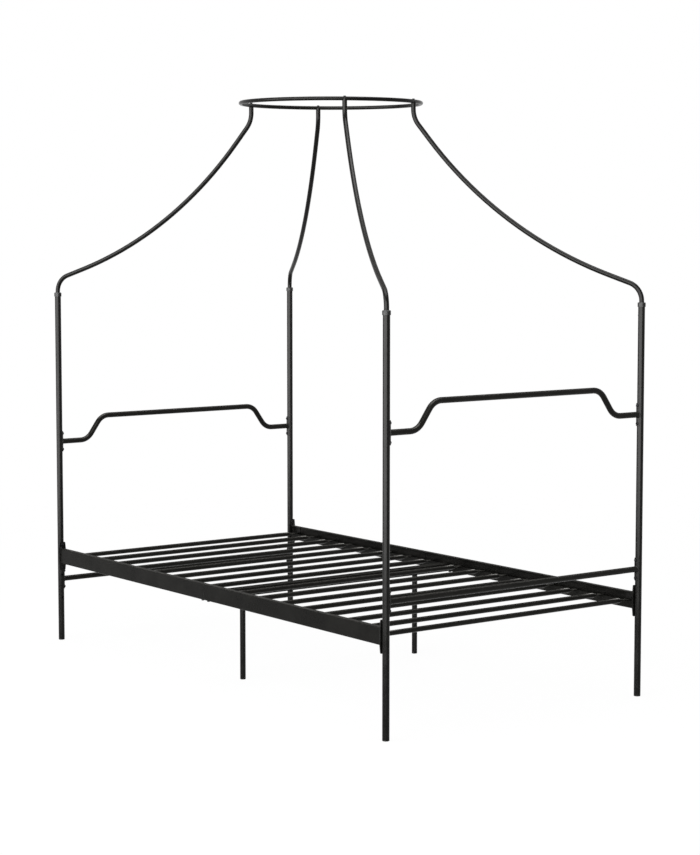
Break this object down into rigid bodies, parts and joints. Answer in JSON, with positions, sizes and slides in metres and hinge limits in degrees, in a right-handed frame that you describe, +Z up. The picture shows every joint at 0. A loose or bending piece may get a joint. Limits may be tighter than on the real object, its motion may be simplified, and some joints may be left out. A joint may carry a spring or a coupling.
{
  "type": "four poster canopy bed",
  "caption": "Twin size four poster bed of black steel tube with a slatted base, low S-bent headboard and footboard rails, and bent arms that carry a round canopy hoop.",
  "frame": {"origin": "on the floor under the middle of the bed", "axes": "+X across the bed, +Y along it from head to foot, +Z up"},
  "size_m": [1.058, 1.982, 1.9424],
  "materials": {
    "frame_coat": "satin powder coat",
    "plastic": "moulded",
    "bolts": "black zinc",
    "zinc": "bright zinc"
  },
  "bodies": {
    "root": {"arm_screws": "bolts", "arm_top_plugs": "zinc", "canopy_arm_foot_left": "frame_coat", "canopy_arm_foot_right": "frame_coat", "canopy_arm_head_left": "frame_coat", "canopy_arm_head_right": "frame_coat", "canopy_hoop": "frame_coat", "centre_leg_left": "frame_coat", "centre_leg_right": "frame_coat", "centre_support": "frame_coat", "footboard_crossbar": "frame_coat", "footboard_crossbar_saddles": "frame_coat", "footboard_top_rail": "frame_coat", "footboard_top_saddles": "frame_coat", "headboard_crossbar": "frame_coat", "headboard_crossbar_saddles": "frame_coat", "headboard_top_rail": "frame_coat", "headboard_top_saddles": "frame_coat", "hoop_screws": "bolts", "leg_foot_plugs": "plastic", "leg_screws": "bolts", "leg_top_plugs": "zinc", "panel_bolts": "bolts", "post_collars": "plastic", "post_foot_left": "frame_coat", "post_foot_plugs": "plastic", "post_foot_right": "frame_coat", "post_head_left": "frame_coat", "post_head_right": "frame_coat", "post_nuts": "bolts", "rail_bracket_bolts": "bolts", "rail_bracket_foot_left": "frame_coat", "rail_bracket_foot_right": "frame_coat", "rail_bracket_head_left": "frame_coat", "rail_bracket_head_right": "frame_coat", "rail_splice_plates": "zinc", "side_rail_foot_left": "frame_coat", "side_rail_foot_right": "frame_coat", "side_rail_head_left": "frame_coat", "side_rail_head_right": "frame_coat", "slat_01": "frame_coat", "slat_02": "frame_coat", "slat_03": "frame_coat", "slat_04": "frame_coat", "slat_05": "frame_coat", "slat_06": "frame_coat", "slat_07": "frame_coat", "slat_08": "frame_coat", "slat_09": "frame_coat", "slat_10": "frame_coat", "slat_11": "frame_coat", "slat_12": "frame_coat", "slat_13": "frame_coat", "slat_14": "frame_coat", "slat_15": "frame_coat", "slat_16": "frame_coat", "splice_bolts": "bolts", "splice_nuts": "zinc"}
  },
  "joints": []
}
